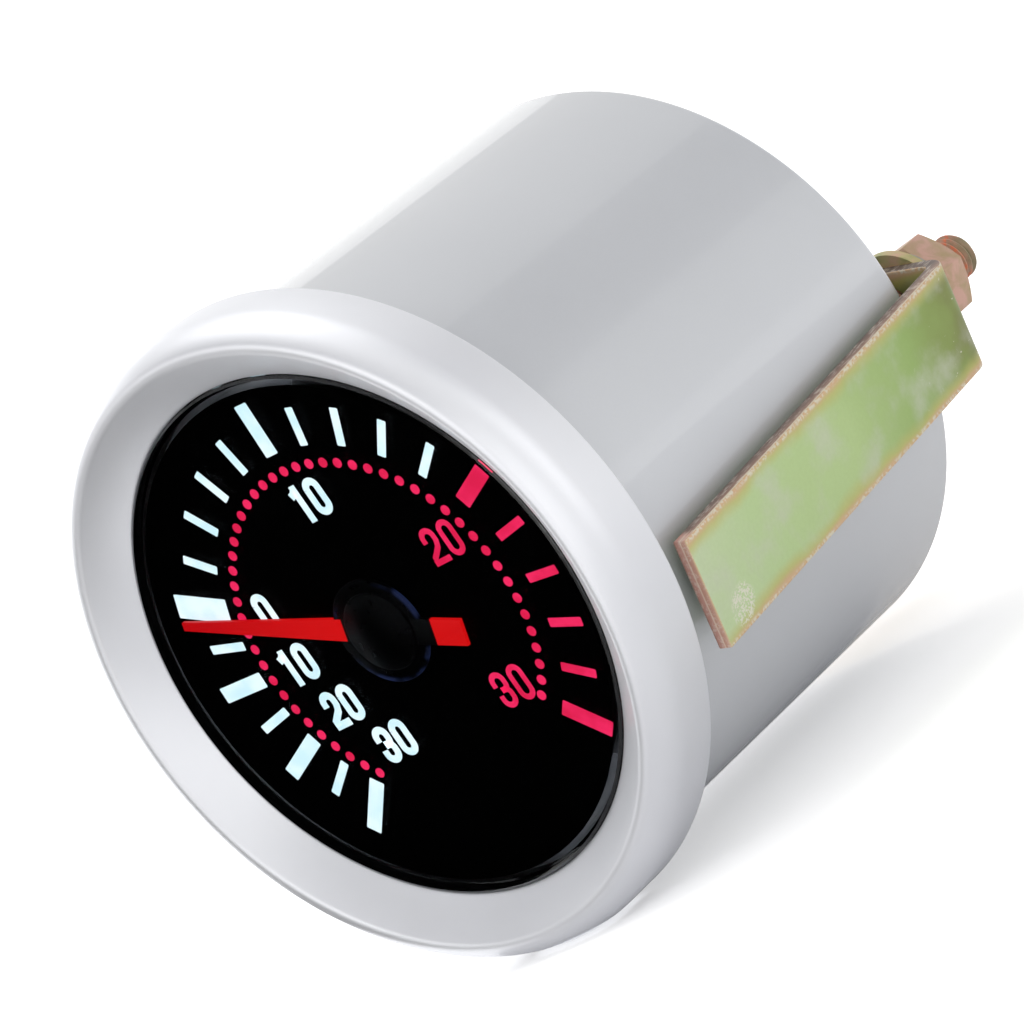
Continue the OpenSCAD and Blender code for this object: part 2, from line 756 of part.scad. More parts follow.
module plate_screws() {
  color("silver") for (p = pillar_places)
    translate([p[0], 0, p[1]]) mirror([0, 1, 0]) small_screw(-rear_plate_y - plate_t, screw_r, screw_head_r);
}

module movement_screws() {
  color("silver") for (p = movement_screw_places)
    translate([p[0], 0, p[1]]) small_screw(front_plate_y, movement_screw_r, movement_screw_head_r);
}

module case_shell() {
  color("lightgray") difference() {
    turned(concat(
      [[case_in_r, case_mouth_y], [case_lip_r, case_mouth_y], [case_lip_r, -bezel_collar_t],
       [neck_r, -bezel_collar_t], [neck_r, 0], [case_r, 0]],
      arc([case_r - case_edge_r, case_len - case_edge_r], case_edge_r, 0, 90),
      [[0, case_len], [0, case_inside_y], [case_in_r, case_inside_y]]));
    for (c = stud_clocks) at(c, stud_out_r) rod(case_inside_y - over, case_back_t + 2 * over, stud_r);
    at(port_clock, port_out) rod(case_inside_y - over, case_back_t + 2 * over, port_hole_r);
    at(grommet_clock, grommet_out) rod(case_inside_y - over, case_back_t + 2 * over, grommet_r);
  }
}

module cable_grommet() {
  color("black") at(grommet_clock, grommet_out) turned([
    [grommet_hole_r, case_inside_y - grommet_flange_t], [grommet_flange_r, case_inside_y - grommet_flange_t],
    [grommet_flange_r, case_inside_y], [grommet_r, case_inside_y], [grommet_r, case_len],
    [grommet_flange_r, case_len], [grommet_flange_r, case_len + grommet_flange_t / 2],
    [grommet_r, case_len + grommet_flange_t], [grommet_hole_r, case_len + grommet_flange_t]]);
}

module clamp_studs() {
  color("peru") for (c = stud_clocks) at(c, stud_out_r) turned(concat(
    [[0, case_inside_y - stud_head_t], [stud_head_r, case_inside_y - stud_head_t],
     [stud_head_r, case_inside_y], [stud_r, case_inside_y], [stud_r, case_len + stud_pitch]],
    thread(stud_r, stud_pitch, case_len + stud_pitch, stud_end_y),
    [[0, stud_end_y]]));
}

// One leg and its bend, drawn along +X: the outline's first value runs clockwise on the dial
module strap_half() {
  bend_x = leg_x + strap_t - strap_bend_r;
  bend_y = bridge_y + strap_t - strap_bend_r;
  half_w = strap_w / 2;
  translate([leg_x, 0, 0]) rotate([0, 90, 0]) linear_extrude(strap_t) polygon([
    [-half_w, bend_y], [half_w, bend_y], [strap_foot_shift + half_w, strap_foot_gap],
    [strap_foot_shift - half_w, strap_foot_gap]]);
  translate([bend_x, bend_y, 0]) rotate_extrude(angle = 90)
    translate([strap_bend_r - strap_t, -half_w]) square([strap_t, strap_w]);
  translate([0, bridge_y, -half_w]) cube([bend_x, strap_t, strap_w]);
}

module clamp_strap() {
  color("olive") difference() {
    rotate([0, strap_clock - 90, 0]) union() {
      strap_half();
      rotate([0, 180, 0]) strap_half();
    }
    for (c = stud_clocks) at(c, stud_out_r) rod(bridge_y - over, strap_t + 2 * over, bolt_hole_r);
  }
}

module flat_washers() {
  color("darkkhaki") for (c = stud_clocks) at(c, stud_out_r)
    ring(washer_y, washer_t, washer_d / 2, bolt_hole_r);
}

module spring_washers() {
  color("silver") for (c = stud_clocks) at(c, stud_out_r) difference() {
    ring(spring_washer_y, spring_washer_t, spring_washer_r, bolt_hole_r - bolt_gap / 2);
    translate([-spring_washer_cut / 2, spring_washer_y - over, 0])
      cube([spring_washer_cut, spring_washer_t + 2 * over, spring_washer_r + over]);
  }
}

module clamp_nut(side) {
  color("rosybrown") at(stud_clocks[side], stud_out_r) rotate([0, nut_clocks[side], 0])
    hex_nut(nut_y, nut_t, nut_af, stud_r + bearing_gap);
}

module nut_right() {
  clamp_nut(0);
}

module nut_left() {
  clamp_nut(1);
}

bezel_ring();
lens();
lens_gasket();
shadow_ring();
dial_plate();
light_guide();
lamp_board();
lamps();
board_screws();
board_posts();
pointer();
pointer_cap();
pinion_staff();
hairspring();
hairspring_stud();
sector_gear();
sector_arbor();
drive_link();
tube_tip();
bourdon_tube();
pressure_port();
port_gasket();
port_nut();
front_plate();
rear_plate();
plate_pillars();
plate_screws();
movement_screws();
case_shell();
cable_grommet();
clamp_studs();
clamp_strap();
flat_washers();
spring_washers();
nut_right();
nut_left();
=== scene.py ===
import math

import bpy
from mathutils import Matrix, Vector


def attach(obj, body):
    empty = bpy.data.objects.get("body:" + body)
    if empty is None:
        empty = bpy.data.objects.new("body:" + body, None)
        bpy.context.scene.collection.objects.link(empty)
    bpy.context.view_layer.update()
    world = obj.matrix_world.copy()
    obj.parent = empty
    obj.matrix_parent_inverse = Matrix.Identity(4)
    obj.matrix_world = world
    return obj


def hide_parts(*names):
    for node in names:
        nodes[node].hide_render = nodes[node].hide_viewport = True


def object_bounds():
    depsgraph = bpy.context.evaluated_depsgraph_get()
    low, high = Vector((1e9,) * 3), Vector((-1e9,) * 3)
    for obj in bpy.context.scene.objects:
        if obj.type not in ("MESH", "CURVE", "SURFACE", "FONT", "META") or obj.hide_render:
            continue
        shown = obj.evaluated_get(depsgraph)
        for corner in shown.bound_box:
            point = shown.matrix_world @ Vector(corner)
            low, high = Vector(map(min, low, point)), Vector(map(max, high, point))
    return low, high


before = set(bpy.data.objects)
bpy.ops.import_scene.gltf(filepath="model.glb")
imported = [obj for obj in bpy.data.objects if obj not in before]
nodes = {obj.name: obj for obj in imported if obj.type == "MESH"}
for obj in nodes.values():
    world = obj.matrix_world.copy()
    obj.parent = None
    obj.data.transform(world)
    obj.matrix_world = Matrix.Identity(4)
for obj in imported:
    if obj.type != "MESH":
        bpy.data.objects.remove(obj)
cad_box = [list(corner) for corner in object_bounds()]

# Camera. It looks at the dial from its right and a little above, with a long lens, and is
# rolled so that the gauge's back points to the upper right.
mm = 0.001
camera_place = Vector((320.1, -287.7, 53.3)) * mm
camera_right = Vector((0.6155, 0.5509, -0.5636))
camera_up = Vector((0.3192, 0.4796, 0.8174))
camera_back = camera_right.cross(camera_up).normalized()
camera = bpy.data.objects.new("camera", bpy.data.cameras.new("camera"))
bpy.context.scene.collection.objects.link(camera)
camera.data.lens = 196.9
camera.data.clip_start = 0.01
turned_to = Matrix((camera_right, camera_up, camera_back)).transposed().to_4x4()
camera.matrix_world = Matrix.Translation(camera_place) @ turned_to
bpy.context.scene.camera = camera
bpy.context.scene.view_settings.view_transform = "Standard"


# Studio. White paper under and behind the gauge in a white room, with a large soft box above
# and four smaller ones round it. Cards and cloths that only reflections see give the lens and
# the metal something dark to mirror.
def srgb(red, green, blue):
    """A colour from its usual values of 0 to 255."""
    return tuple((v / 255 / 12.92) if v < 11 else ((v / 255 + 0.055) / 1.055) ** 2.4
                 for v in (red, green, blue)) + (1.0,)


class Field:
    """A shader socket to write sums on. Each sum adds a Math node to the same material."""

    def __init__(self, socket):
        self.socket = socket

    def node(self, kind, settings, inputs, out=0):
        tree = self.socket.id_data
        made = tree.nodes.new("ShaderNode" + kind)
        for name, value in settings.items():
            if name == "stops":
                elements = made.color_ramp.elements
                elements[0].position, elements[0].color = value[0]
                elements[1].position, elements[1].color = value[-1]
                for place, colour in value[1:-1]:
                    elements.new(place).color = colour
            else:
                setattr(made, name, value)
        for name, value in inputs.items():
            if isinstance(value, Field):
                tree.links.new(value.socket, made.inputs[name])
            else:
                made.inputs[name].default_value = value
        return Field(made.outputs[out])

    def sum(self, operation, first, second=0.0):
        return self.node("Math", {"operation": operation}, {0: first, 1: second})

    def __add__(self, other):
        return self.sum("ADD", self, other)

    def __radd__(self, other):
        return self.sum("ADD", other, self)

    def __sub__(self, other):
        return self.sum("SUBTRACT", self, other)

    def __rsub__(self, other):
        return self.sum("SUBTRACT", other, self)

    def __mul__(self, other):
        return self.sum("MULTIPLY", self, other)

    def __rmul__(self, other):
        return self.sum("MULTIPLY", other, self)

    def __truediv__(self, other):
        return self.sum("DIVIDE", self, other)

    def __pow__(self, other):
        return self.sum("POWER", self, other)

    def size(self):
        return self.sum("ABSOLUTE", self)

    def axes(self):
        first = self.node("SeparateXYZ", {}, {"Vector": self})
        return [Field(socket) for socket in first.socket.node.outputs]

    def noise(self, scale, detail=3.0, distortion=0.0):
        return self.node("TexNoise", {}, {"Vector": self, "Scale": scale, "Detail": detail,
                                          "Distortion": distortion})

    def step(self, low, high):
        return self.node("MapRange", {"interpolation_type": "SMOOTHSTEP"},
                         {"Value": self, "From Min": low, "From Max": high})

    def blend(self, low, high):
        return self.node("Mix", {"data_type": "RGBA"}, {0: self, 6: low, 7: high}, out=2)

    def ramp(self, *stops):
        return self.node("ValToRGB", {"stops": stops}, {"Fac": self})

    def bump(self, depth, strength=1.0):
        return self.node("Bump", {}, {"Height": self, "Distance": depth, "Strength": strength})


class Finish:
    """A material: its shader, the place on the piece, and the pieces that wear it."""

    def __init__(self, name, sockets):
        self.material = bpy.data.materials.new(name)
        self.material.use_nodes = True
        tree = self.material.node_tree
        self.shader = tree.nodes["Principled BSDF"]
        for socket, value in sockets.items():
            self.shader.inputs[socket].default_value = value
        self.place = Field(tree.nodes.new("ShaderNodeTexCoord").outputs["Object"])

    def vary(self, **fields):
        for name, field in fields.items():
            socket = self.shader.inputs[name.replace("_", " ").title()]
            self.material.node_tree.links.new(field.socket, socket)

    def put_on(self, *pieces):
        for piece in pieces:
            piece.data.materials.clear()
            piece.data.materials.append(self.material)


floor_z = cad_box[0][2]
view_run = Vector((-0.72, 0.68, 0))


def sheet(name, place, turned, width, height):
    """A flat sheet of the studio, at a place in mm."""
    bpy.ops.object.select_all(action="DESELECT")
    bpy.ops.mesh.primitive_plane_add(size=mm, location=Vector(place) * mm, rotation=turned)
    made = bpy.context.object
    made.name = name
    made.scale = (width, height, 1)
    return made


facing = math.atan2(view_run.y, view_run.x) - math.pi / 2
paper_w, paper_h = 12000, 5000
floor = sheet("floor", (0, 0, floor_z / mm), (0, 0, 0), paper_w, paper_w)
backdrop = sheet("backdrop", view_run * 5900, (math.pi / 2, 0, facing), paper_w, paper_h)
paper = Finish("paper", {"Roughness": 0.9, "Specular IOR Level": 0.1,
                         "Emission Color": (1, 1, 1, 1), "Emission Strength": 0.3})
paper.vary(Base_Color=paper.place.noise(40.0).blend(srgb(250, 250, 250), srgb(254, 254, 254)))
paper.put_on(floor, backdrop)

lens_sees = Vector((-0.72, -0.68, 0))
slope_sees = Vector((-0.215, -0.617, 0.756))
flag_facing = math.atan2(lens_sees.y, lens_sees.x) + math.pi / 2
slope_facing = slope_sees.to_track_quat("Z", "Y").to_euler()
on_floor = Vector((0, 0, floor_z / mm + 0.5))
card = sheet("flag_card", lens_sees * 190 + Vector((0, 0, 4)), (math.pi / 2, 0, flag_facing), 96, 64)
cloth = sheet("flag_cloth", lens_sees * 113 + on_floor, (0, 0, flag_facing), 86, 160)
high_card = sheet("flag_high", (319, 559, 465), (0, math.radians(34.5), 0), 410, 1000)
low_cloth = sheet("flag_low", Vector((112, 60, 0)) + on_floor, (0, 0, 0), 240, 320)
front_card = sheet("flag_front", slope_sees * 420, slope_facing, 760, 300)
flag_black = Finish("flag_black", {"Specular IOR Level": 0.0})
flag_black.vary(Base_Color=flag_black.place.noise(30.0).blend(srgb(3, 3, 3), srgb(8, 8, 8)))
flag_black.put_on(card, cloth)
for name, flag, dark, light in (("flag_grey", high_card, 172, 182), ("flag_pale", low_cloth, 210, 218),
                                ("flag_dim", front_card, 150, 158)):
    felt = Finish(name, {"Specular IOR Level": 0.0, "Roughness": 0.9})
    felt.vary(Base_Color=felt.place.noise(30.0).blend(srgb(dark, dark, dark + 2),
                                                      srgb(light, light, light + 2)))
    felt.put_on(flag)
for flag in (card, cloth, high_card, low_cloth, front_card):
    flag.visible_camera = flag.visible_diffuse = flag.visible_shadow = False

room = bpy.data.worlds.new("room")
bpy.context.scene.world = room
room.use_nodes = True
room.node_tree.nodes["Background"].inputs["Color"].default_value = (1, 1, 1, 1)
room.node_tree.nodes["Background"].inputs["Strength"].default_value = 0.8


def soft_box(name, place, width, height, power):
    """A soft box at a place in mm, turned to the gauge."""
    light = bpy.data.lights.new(name, "AREA")
    light.shape, light.size, light.size_y, light.energy = "RECTANGLE", width, height, power
    box = bpy.data.objects.new(name, light)
    bpy.context.scene.collection.objects.link(box)
    box.location = Vector(place) * mm
    aim = Vector((0, 20 * mm, 0)) - box.location
    box.rotation_euler = aim.to_track_quat("-Z", "Y").to_euler()


soft_box("soft_box_top", (-150, 60, 620), 0.75, 0.5, 1.1)
soft_box("soft_box_right", (620, 150, 260), 0.3, 0.6, 0.4)
soft_box("soft_box_front", (-160, -560, 260), 0.5, 0.35, 0.4)
soft_box("soft_box_near", (430, -430, 90), 0.45, 0.4, 0.3)
soft_box("soft_box_left", (-560, 180, 120), 0.4, 0.4, 0.6)


# Bezel. A spun ring of aluminium with a satin silver finish. Its collar hooks behind the lip
# of the case and it holds the lens; the rolled outer face ends in a small chamfer at the panel.
opening_r, opening_y = 22.95, -4.15
bezel_r, bezel_chamfer = 28.3, 0.35
crest_centre, crest_r = (26.434, -6.03), 0.9
roll_centre, roll_r = (24.5, -3.869), 3.8
slope_angle, crest_end_angle = -131.5, -48.18
lens_seat_y, groove_r, collar_y = -3.75, 26.5, -0.9
collar_bore_r, seat_bore_r = 25.7, 26.05


def arc(centre, radius, start, end, steps):
    """Points of an arc in an outline, between two angles in degrees."""
    turns = [math.radians(start + (end - start) * i / steps) for i in range(steps + 1)]
    return [(centre[0] + radius * math.cos(a), centre[1] + radius * math.sin(a)) for a in turns]


def draw(name, points):
    """An outline in mm, drawn as a chain of points, each pulled out of the last one."""
    bpy.ops.object.select_all(action="DESELECT")
    bpy.ops.mesh.primitive_plane_add(size=mm, location=Vector(points[0]) * mm)
    piece = bpy.context.object
    piece.name = name
    bpy.ops.object.transform_apply(location=True, rotation=True, scale=True)
    bpy.ops.object.mode_set(mode="EDIT")
    bpy.ops.mesh.select_all(action="SELECT")
    bpy.ops.mesh.merge(type="CENTER")
    for before, after in zip(points, points[1:]):
        pull = (Vector(after) - Vector(before)) * mm
        bpy.ops.mesh.extrude_vertices_move(TRANSFORM_OT_translate={"value": pull})
    return piece


def turn(name, outline, steps, around=(0.0, 0.0)):
    """A turned piece from an outline of radius and depth, spun about a line along Y."""
    closed = outline + outline[:1] if outline[0][0] > 0 or outline[-1][0] > 0 else outline
    piece = draw(name, [(around[0] + r, y, around[1]) for r, y in closed])
    bpy.ops.mesh.select_all(action="SELECT")
    bpy.ops.mesh.remove_doubles(threshold=0.002 * mm)
    bpy.ops.mesh.spin(steps=steps, angle=2 * math.pi, axis=(0, 1, 0),
                      center=(around[0] * mm, 0, around[1] * mm))
    bpy.ops.mesh.select_all(action="SELECT")
    bpy.ops.mesh.remove_doubles(threshold=0.002 * mm)
    bpy.ops.mesh.normals_make_consistent(inside=False)
    bpy.ops.object.mode_set(mode="OBJECT")
    return piece


def pick(piece):
    """Makes a piece the only one selected."""
    bpy.ops.object.select_all(action="DESELECT")
    piece.select_set(True)
    bpy.context.view_layer.objects.active = piece


def ease(piece, edge, segments=2, above=32.0):
    """Rounds the sharp edges of a piece and shades its round faces smooth."""
    pick(piece)
    if edge:
        bpy.ops.object.modifier_add(type="BEVEL")
        bevel = piece.modifiers[-1]
        bevel.width, bevel.segments = edge * mm, segments
        bevel.limit_method, bevel.angle_limit = "ANGLE", math.radians(above)
        bpy.ops.object.modifier_apply(modifier=bevel.name)
    bpy.ops.object.shade_smooth_by_angle(angle=math.radians(above))


bezel = turn("bezel", [(opening_r, opening_y)]
             + arc(crest_centre, crest_r, slope_angle, crest_end_angle, 16)
             + arc(roll_centre, roll_r, crest_end_angle, 0, 22)
             + [(bezel_r, -bezel_chamfer), (bezel_r - bezel_chamfer, 0), (seat_bore_r, 0),
                (collar_bore_r, -bezel_chamfer), (collar_bore_r, collar_y), (groove_r, collar_y),
                (groove_r, lens_seat_y), (opening_r, lens_seat_y)], steps=180)
ease(bezel, 0.07)
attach(bezel, "root")
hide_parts("bezel_ring")

satin = Finish("bezel_satin", {"Metallic": 0.75, "Coat Weight": 0.1, "Coat Roughness": 0.35})
grain = satin.place.noise(7000.0, 2.0)
cloud = satin.place.noise(90.0, 3.0)
satin.vary(Base_Color=cloud.blend(srgb(228, 229, 233), srgb(238, 239, 243)),
           Roughness=0.38 + 0.1 * grain, Normal=grain.bump(0.006 * mm, 0.5))
satin.put_on(bezel)


# Lens. A disc of smoked clear acrylic, moulded with a step so that its rim sits behind the lip
# of the bezel and its face stands a little proud of the opening.
lens_front_y, lens_back_y, lens_rim_y = -4.35, -3.35, -2.75
lens_r, lens_edge, lens_rim_r = 22.85, 0.2, 26.4
lens = turn("lens_disc", [(0, lens_front_y), (lens_r - lens_edge, lens_front_y),
                          (lens_r, lens_front_y + lens_edge), (lens_r, lens_seat_y),
                          (lens_rim_r, lens_seat_y), (lens_rim_r, lens_rim_y),
                          (lens_r - 0.5, lens_rim_y), (lens_r - 1, lens_back_y),
                          (0, lens_back_y)], steps=160)
ease(lens, 0.0)
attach(lens, "root")
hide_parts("lens")

smoke = Finish("lens_smoked", {"Transmission Weight": 1.0, "IOR": 1.49,
                               "Specular IOR Level": 0.4})
haze = smoke.place.noise(60.0, 2.0)
smoke.vary(Base_Color=haze.blend(srgb(208, 212, 216), srgb(214, 218, 222)),
           Roughness=0.01 + 0.01 * haze)
smoke.put_on(lens)


# Dial stack. A black spacer ring, then the dial: a plate printed matt black, clear only where
# the marks are. Both are punched from sheet and lie loose under the lens.
dial_y = -1.9
spacer_black = Finish("spacer_black", {"Specular IOR Level": 0.02})
speck = spacer_black.place.noise(2500.0, 3.0)
spacer_black.vary(Base_Color=speck.blend(srgb(0, 0, 0), srgb(3, 3, 4)),
                  Roughness=0.75 + 0.15 * speck)
spacer_black.put_on(nodes["shadow_ring"])

dial_black = Finish("dial_black", {"Specular IOR Level": 0.02})
speck = dial_black.place.noise(3500.0, 3.0)
dial_black.vary(Base_Color=speck.blend(srgb(0, 0, 0), srgb(2, 2, 3)),
                Roughness=0.8 + 0.1 * speck, Normal=speck.bump(0.002 * mm, 0.3))
dial_black.put_on(nodes["dial_plate"])


# Scale. The clear marks in the dial's print, lit from behind: white ticks and a broad block at
# zero for the vacuum and low pressure side, red ones from 20 up, and a ring of red dots inside.
print_t = 0.02
zero_clock, psi_step, vacuum_step = -64.2, 13.32, -11.6
white_minor, white_major = (16.0, 19.3, 0.78), (15.95, 20.6, 1.38)
red_minor, red_major = (16.45, 19.65, 0.78), (16.35, 20.9, 1.42)
vacuum_minor, vacuum_major = (15.4, 19.1, 0.78), (15.4, 20.5, 1.38)
zero_block = (15.7, 21.0, 2.15)
dot_ring_r, dot_r, dot_count = 14.45, 0.43, 48
first_dot_clock, last_dot_clock = -134.8, 134.6


def copies(first, clocks):
    """Copies of a mark, each turned to its clock angle and with its own mesh."""
    made = []
    for clock in clocks:
        mark = first.copy()
        mark.data = first.data.copy()
        bpy.context.scene.collection.objects.link(mark)
        mark.rotation_euler.y = math.radians(clock)
        made.append(mark)
    bpy.data.objects.remove(first)
    return made


def set_down(first, name, place):
    """A copy of a piece with its own mesh, set down at a place."""
    made = first.copy()
    made.data = first.data.copy()
    made.name = name
    bpy.context.scene.collection.objects.link(made)
    made.location = (place[0] * mm, 0, place[1] * mm)
    pick(made)
    bpy.ops.object.transform_apply(location=True, rotation=True, scale=True)
    return made


def raise_print(mark):
    """Gives a flat mark the thickness of the print, towards the viewer."""
    pick(mark)
    bpy.ops.object.mode_set(mode="EDIT")
    bpy.ops.mesh.select_all(action="SELECT")
    bpy.ops.mesh.extrude_region_move(TRANSFORM_OT_translate={"value": (0, -print_t * mm, 0)})
    bpy.ops.mesh.select_all(action="SELECT")
    bpy.ops.mesh.normals_make_consistent(inside=False)
    bpy.ops.object.mode_set(mode="OBJECT")


def ticks(size, clocks):
    """Bars with rounded corners, drawn at 12 o'clock and copied to their places."""
    inner, outer, width = size
    bpy.ops.object.select_all(action="DESELECT")
    middle = (0, dial_y * mm, (inner + outer) / 2 * mm)
    bpy.ops.mesh.primitive_plane_add(size=mm, location=middle, rotation=(math.pi / 2, 0, 0))
    bar = bpy.context.object
    bar.scale = (width, outer - inner, 1)
    bpy.ops.object.transform_apply(location=True, rotation=True, scale=True)
    bpy.ops.object.mode_set(mode="EDIT")
    bpy.ops.mesh.select_all(action="SELECT")
    bpy.ops.mesh.bevel(offset=0.1 * mm, segments=3, affect="VERTICES")
    bpy.ops.object.mode_set(mode="OBJECT")
    raise_print(bar)
    return copies(bar, clocks)


def dots(clocks):
    """Round dots, drawn at 12 o'clock and copied to their places."""
    bpy.ops.object.select_all(action="DESELECT")
    bpy.ops.mesh.primitive_circle_add(vertices=18, radius=dot_r * mm, fill_type="NGON",
                                      location=(0, dial_y * mm, dot_ring_r * mm),
                                      rotation=(math.pi / 2, 0, 0))
    dot = bpy.context.object
    bpy.ops.object.transform_apply(location=True, rotation=True, scale=True)
    raise_print(dot)
    return copies(dot, clocks)


def join(name, marks):
    """One piece of many marks, with its place in its mesh."""
    bpy.context.view_layer.update()
    bpy.ops.object.select_all(action="DESELECT")
    for mark in marks:
        mark.select_set(True)
    bpy.context.view_layer.objects.active = marks[0]
    bpy.ops.object.join()
    bpy.ops.object.transform_apply(location=True, rotation=True, scale=True)
    piece = bpy.context.object
    piece.name = name
    return piece


def psi(*values):
    """Clock angles of pressures in psi."""
    return [zero_clock + psi_step * value / 2 for value in values]


def vacuum(*values):
    """Clock angles of vacuums in inches of mercury."""
    return [zero_clock + vacuum_step * value / 5 for value in values]


dot_step = (last_dot_clock - first_dot_clock) / (dot_count - 1)
white_ticks = join("scale_white", ticks(white_minor, psi(2, 4, 6, 8, 12, 14, 16, 18))
                   + ticks(white_major, psi(10)) + ticks(zero_block, psi(0))
                   + ticks(vacuum_minor, vacuum(5, 15, 25)) + ticks(vacuum_major, vacuum(10, 20, 30)))
red_ticks = join("scale_red", ticks(red_minor, psi(22, 24, 26, 28)) + ticks(red_major, psi(20, 30)))
red_dots = join("scale_dots", dots([first_dot_clock + dot_step * i for i in range(dot_count)]))


# Numbers of the scale. Plain bold condensed figures, upright on the dial, each drawn with a
# broad pen; clear in the same print as the ticks.
figure_h, figure_w, pen_w, red_pen_w = 3.35, 1.85, 0.66, 0.5
figure_step = 2.1
side, top = (figure_w - pen_w) / 2, (figure_h - pen_w) / 2
bend = top - side
hook = 0.38
round_top = arc((0, bend), side, 180, 0, 12)
round_foot = arc((0, -bend), side, 0, -180, 12)
figure_strokes = {
    "0": [round_top + round_foot + round_top[:1]],
    "1": [[(0.22, -figure_h / 2), (0.22, figure_h / 2)], [(-0.5, 0.86), (-0.1, 0.98), (0.22, 1.3)]],
    "2": [[(-side, bend - hook)] + round_top + [(side, 0.35), (0.35, -0.2), (-side, -0.92), (-side, -top)],
          [(-figure_w / 2, -top), (figure_w / 2, -top)]],
    "3": [[(-side, bend - hook)] + round_top + arc((side - 0.42, 0.42), 0.42, 0, -90, 5) + [(-0.2, 0)],
          [(-0.2, 0)] + arc((side - 0.42, -0.42), 0.42, 90, 0, 5) + round_foot + [(-side, hook - bend)]],
}


def figure(digit):
    """One figure in the middle of the dial: its strokes as flat curves as wide as the pen."""
    strokes = []
    for points in figure_strokes[digit]:
        line = bpy.data.curves.new("figure", "CURVE")
        line.dimensions = "2D"
        line.bevel_mode, line.bevel_object = "OBJECT", pen
        spline = line.splines.new("POLY")
        spline.points.add(len(points) - 1)
        for point, (x, z) in zip(spline.points, points):
            point.co = (x * mm, z * mm, 0, 1)
        stroke = bpy.data.objects.new("figure", line)
        bpy.context.scene.collection.objects.link(stroke)
        pick(stroke)
        bpy.ops.object.convert(target="MESH")
        strokes.append(bpy.context.object)
    drawn = join("figure", strokes)
    drawn.rotation_euler.x = math.pi / 2
    drawn.location.y = dial_y * mm
    pick(drawn)
    bpy.ops.object.transform_apply(location=True, rotation=True, scale=True)
    raise_print(drawn)
    return drawn


def numbers(name, width, *places):
    """One piece of all numbers in a colour. Each figure is drawn once, with a pen of a width."""
    for point, half in zip(nib_line.points, (-0.5, 0.5)):
        point.co = (half * width * mm, 0, 0, 1)
    drawn = {digit: figure(digit) for digit in sorted({d for digits, x, z in places for d in digits})}
    made = []
    for digits, x, z in places:
        start = x - figure_step * (len(digits) - 1) / 2
        for i, digit in enumerate(digits):
            made.append(set_down(drawn[digit], "figure", (start + figure_step * i, z)))
    for first in drawn.values():
        bpy.data.objects.remove(first)
    return join(name, made)


nib = bpy.data.curves.new("pen", "CURVE")
nib.dimensions = "2D"
nib_line = nib.splines.new("POLY")
nib_line.points.add(1)
pen = bpy.data.objects.new("pen", nib)
bpy.context.scene.collection.objects.link(pen)

white_numbers = numbers("numbers_white", pen_w, ("10", 1.2, 11.5), ("0", -10.5, 5.4),
                        ("10", -11.0, 0.5), ("20", -9.4, -4.05), ("30", -6.6, -8.4))
red_numbers = numbers("numbers_red", red_pen_w, ("20", 10.9, 3.9), ("30", 8.15, -8.5))
bpy.data.objects.remove(pen)

lit_white = Finish("mark_white", {"Base Color": srgb(180, 190, 195), "Emission Strength": 1.75,
                                  "Roughness": 0.6})
glow = lit_white.place.noise(420.0, 3.0)
lit_white.vary(Emission_Color=glow.step(0.35, 0.65).blend(srgb(200, 230, 236), srgb(226, 242, 246)),
               Base_Color=glow.blend(srgb(160, 175, 182), srgb(180, 190, 195)))
lit_white.put_on(white_ticks, white_numbers)

lit_red = Finish("mark_red", {"Emission Strength": 1.75, "Roughness": 0.6})
glow = lit_red.place.noise(420.0, 3.0)
lit_red.vary(Emission_Color=glow.step(0.35, 0.65).blend(srgb(214, 22, 70), srgb(234, 36, 90)),
             Base_Color=glow.blend(srgb(110, 10, 30), srgb(130, 18, 40)))
lit_red.put_on(red_ticks, red_dots, red_numbers)

for print_piece in (white_ticks, red_ticks, red_dots, white_numbers, red_numbers):
    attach(print_piece, "root")


# Pointer. A thin plate, wide at the hub and narrow at the tip, with a short broad tail. It is
# lit red, and painted black round the hub as far as the edge of the cap's skirt.
pointer_front_y, pointer_t = -2.5, 0.35
pointer_len, pointer_tail = 20.5, 8.3
pointer_half_w, tip_half_w = 1.15, 0.375
pointer_clock, black_to_tip, black_to_tail = -68.5, 3.7, 5.3
boss_r, boss_len = 1.5, 1.15
blade = draw("pointer_blade", [(x, pointer_front_y, z) for x, z in (
    (-tip_half_w, pointer_len), (tip_half_w, pointer_len), (pointer_half_w, 0),
    (pointer_half_w, -pointer_tail), (-pointer_half_w, -pointer_tail), (-pointer_half_w, 0))])
bpy.ops.mesh.select_all(action="SELECT")
bpy.ops.mesh.edge_face_add()
bpy.ops.mesh.extrude_region_move(TRANSFORM_OT_translate={"value": (0, pointer_t * mm, 0)})
bpy.ops.mesh.select_all(action="SELECT")
bpy.ops.mesh.normals_make_consistent(inside=False)
bpy.ops.object.mode_set(mode="OBJECT")
ease(blade, 0.05)
boss = turn("pointer_boss", [(0.6, pointer_front_y + 0.05), (boss_r, pointer_front_y + 0.05),
                             (boss_r, pointer_front_y + pointer_t + boss_len),
                             (0.6, pointer_front_y + pointer_t + boss_len)], steps=48)
ease(boss, 0.04)
blade = join("pointer_blade", [blade, boss])
blade.rotation_euler.y = math.radians(pointer_clock)
pick(blade)
bpy.ops.object.transform_apply(location=True, rotation=True, scale=True)
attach(blade, "pointer")
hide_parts("pointer")

